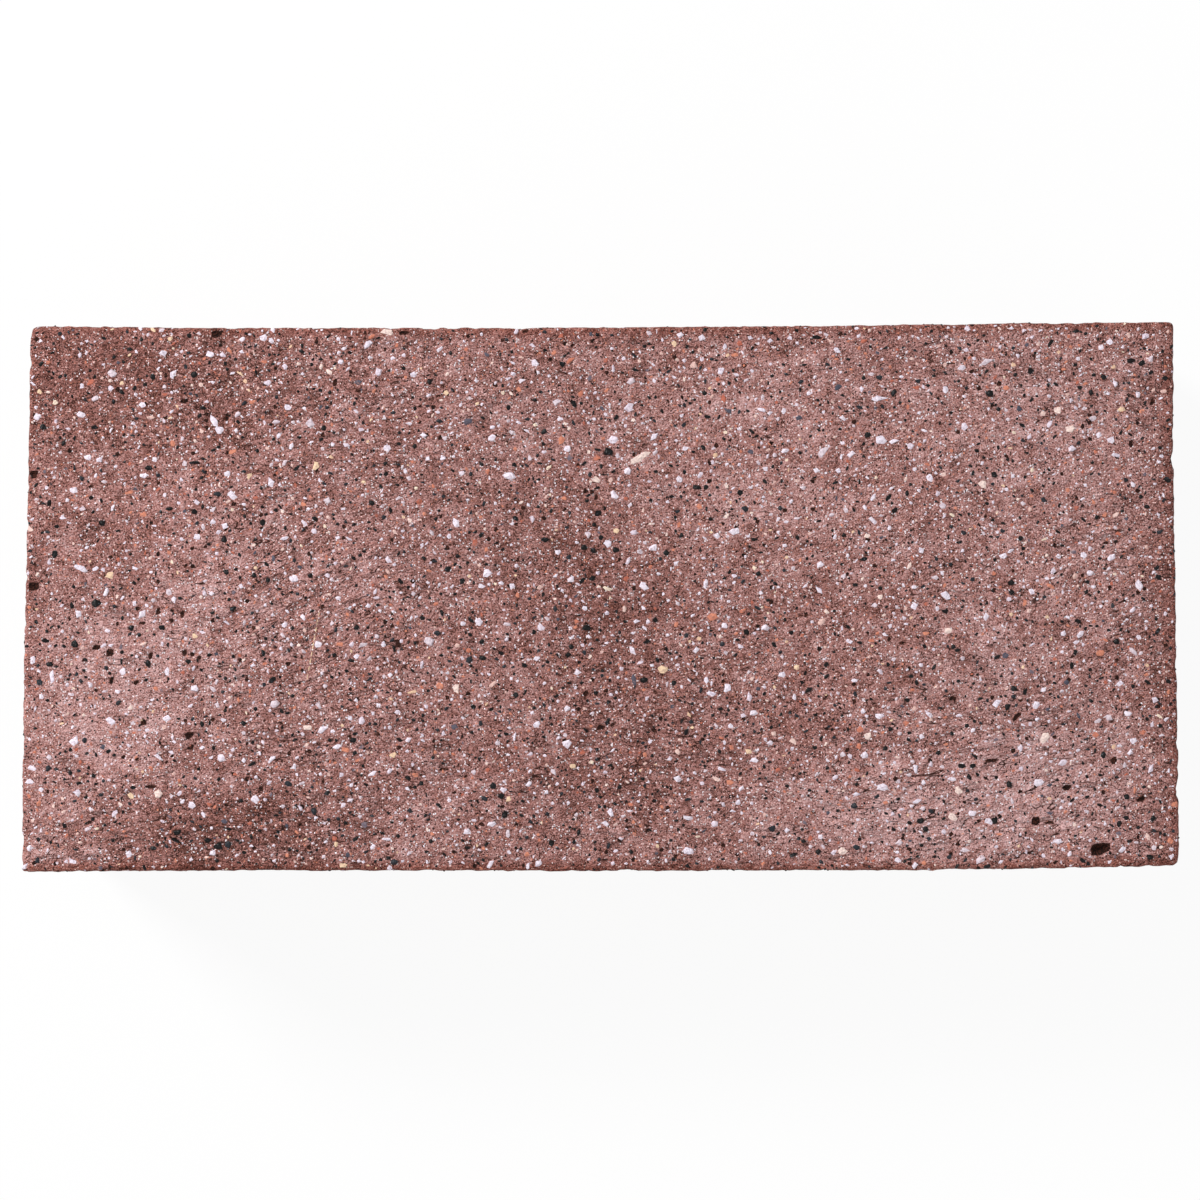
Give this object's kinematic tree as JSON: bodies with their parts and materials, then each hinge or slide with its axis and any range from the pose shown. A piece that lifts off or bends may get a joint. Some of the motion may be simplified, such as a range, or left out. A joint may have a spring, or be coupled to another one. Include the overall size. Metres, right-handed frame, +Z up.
{
  "type": "concrete paving stone",
  "caption": "Rectangular concrete paving stone with a worn, sand-flecked face, eased edges and a flat bed, laid on sand for paths, yards and drives.",
  "frame": {"origin": "centre of the flat bed, the underside that the stone lies on", "axes": "+X along the length, +Y across the width, +Z up, out of the worn face"},
  "size_m": [0.2101, 0.1, 0.06],
  "materials": {
    "concrete": "rough, red-brown concrete with white, black and orange sand"
  },
  "bodies": {
    "root": {"paving_stone": "concrete"}
  },
  "joints": []
}
